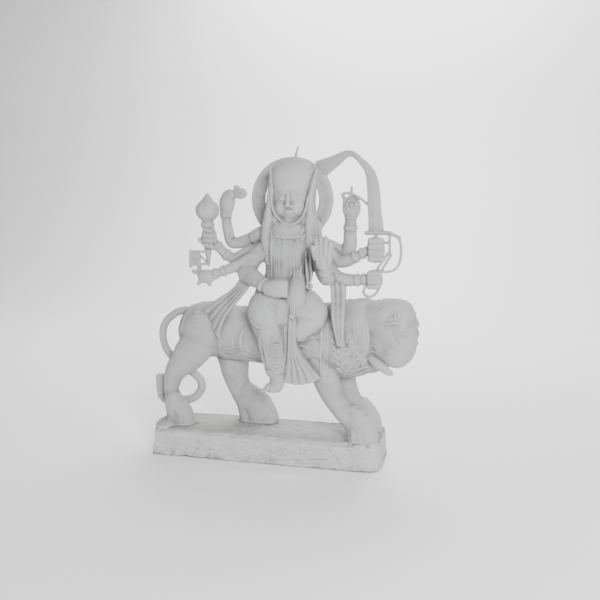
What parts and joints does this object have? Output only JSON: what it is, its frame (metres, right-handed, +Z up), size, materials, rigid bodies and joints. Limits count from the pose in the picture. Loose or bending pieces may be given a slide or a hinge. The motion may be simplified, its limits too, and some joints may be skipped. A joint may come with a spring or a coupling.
{
  "type": "marble statue of a goddess on a lion",
  "caption": "Unpolished white marble many-armed goddess with a halo, seated on a walking lion over a rough slab plinth, carved in one piece.",
  "frame": {"origin": "centre of the plinth's flat underside", "axes": "+Z up, +X the way the lion walks, -Y towards the carving's front"},
  "size_m": [0.8305, 0.2276, 0.9279],
  "materials": {
    "marble": "matte, freshly carved and unpolished"
  },
  "bodies": {
    "root": {"durga_on_lion": "marble"}
  },
  "joints": []
}
